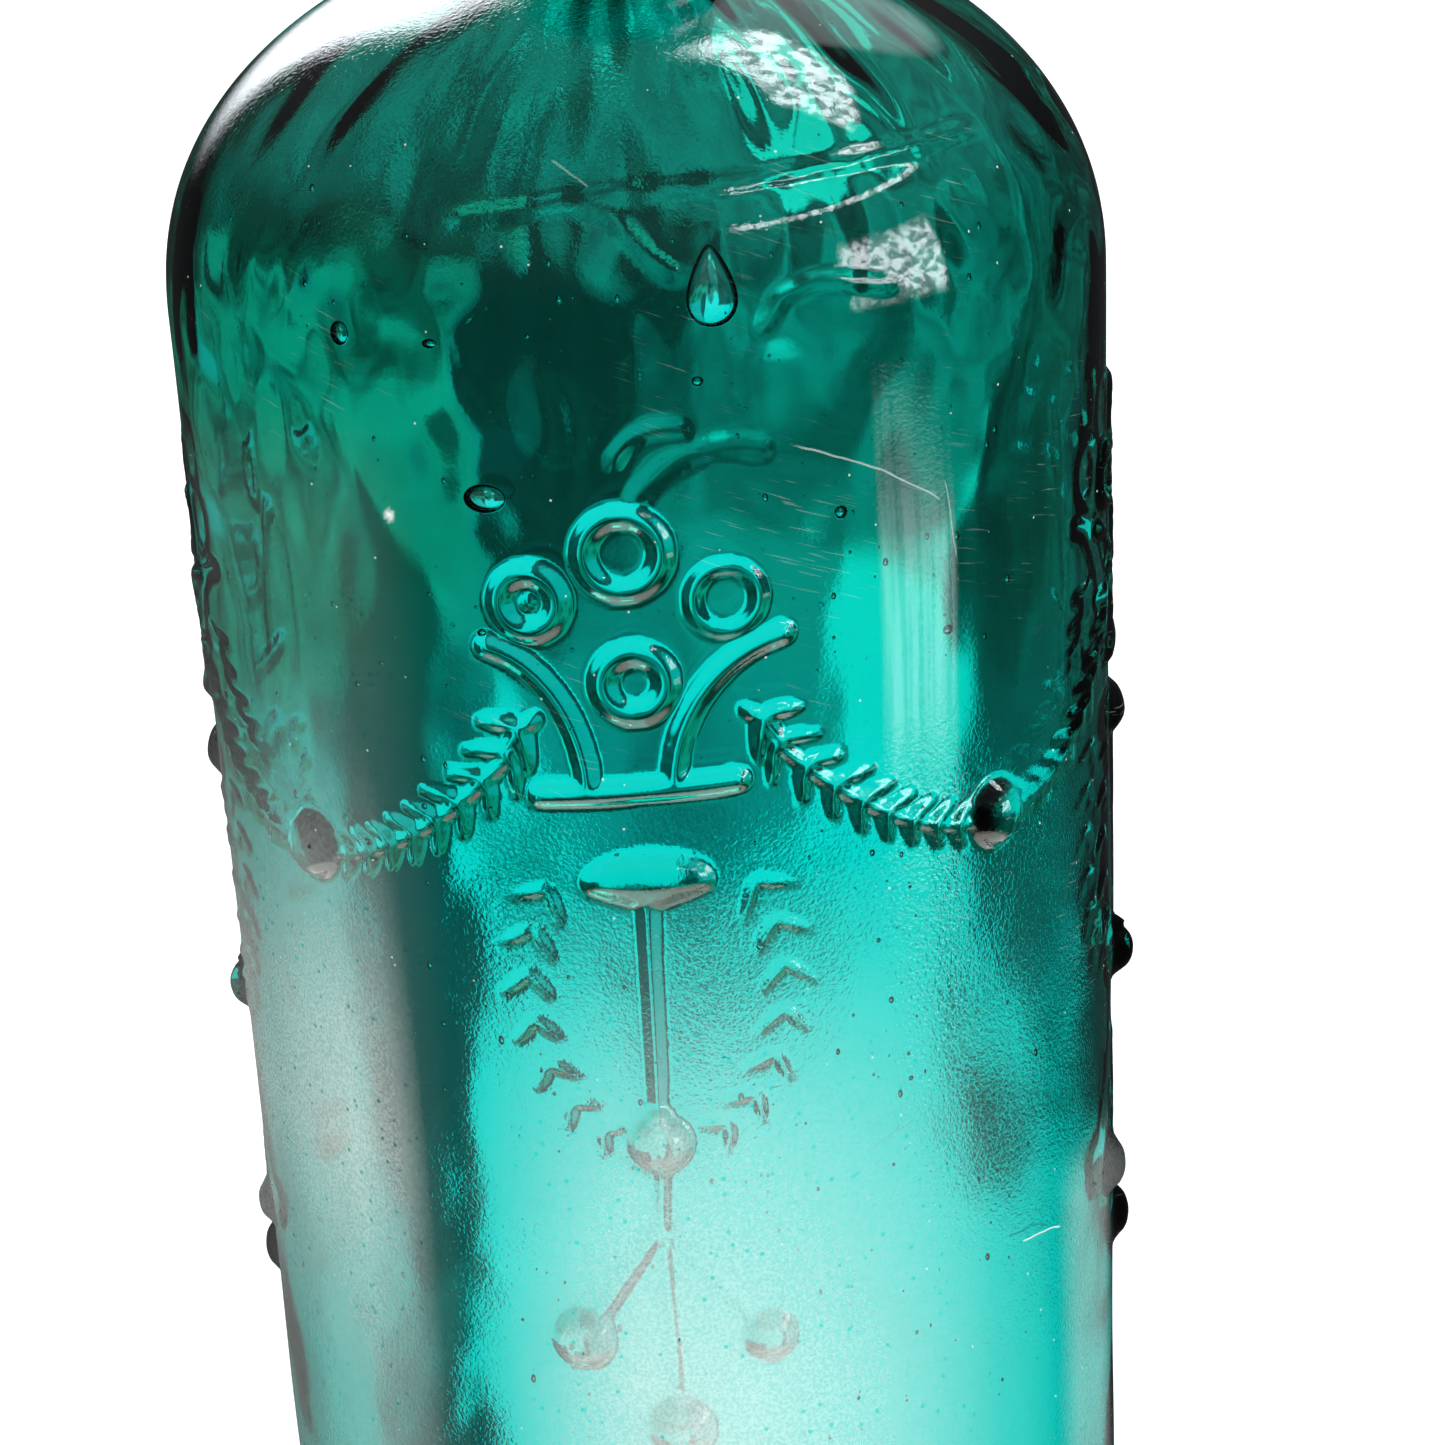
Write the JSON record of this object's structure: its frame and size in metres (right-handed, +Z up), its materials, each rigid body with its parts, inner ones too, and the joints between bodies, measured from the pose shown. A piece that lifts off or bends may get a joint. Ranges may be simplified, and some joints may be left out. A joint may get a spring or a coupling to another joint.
{
  "type": "medicine bottle",
  "caption": "Round mould-blown teal glass medicine bottle with rounded shoulder, narrow neck, collared lip, flower-basket and garland relief, and a lift-out tapered cork.",
  "frame": {"origin": "centre of the foot, on the surface that the bottle stands on", "axes": "+Z up along the bottle's axis of turning; the middle one of its three equal relief motifs faces -Y, its plain panel +Y"},
  "size_m": [0.0936, 0.0927, 0.252],
  "materials": {
    "teal_glass": "glossy, seedy, transparent blue-green",
    "natural_cork": "matte, pitted natural cork"
  },
  "bodies": {
    "bottle": {"bottle_body": "teal_glass", "applied_lip": "teal_glass"},
    "stopper": {"cork_stopper": "natural_cork"}
  },
  "joints": [
    {"name": "cork_lift", "type": "slide", "parent": "bottle", "child": "stopper", "axis": [0, 0, 1], "range_m": [0, 0.03]}
  ]
}
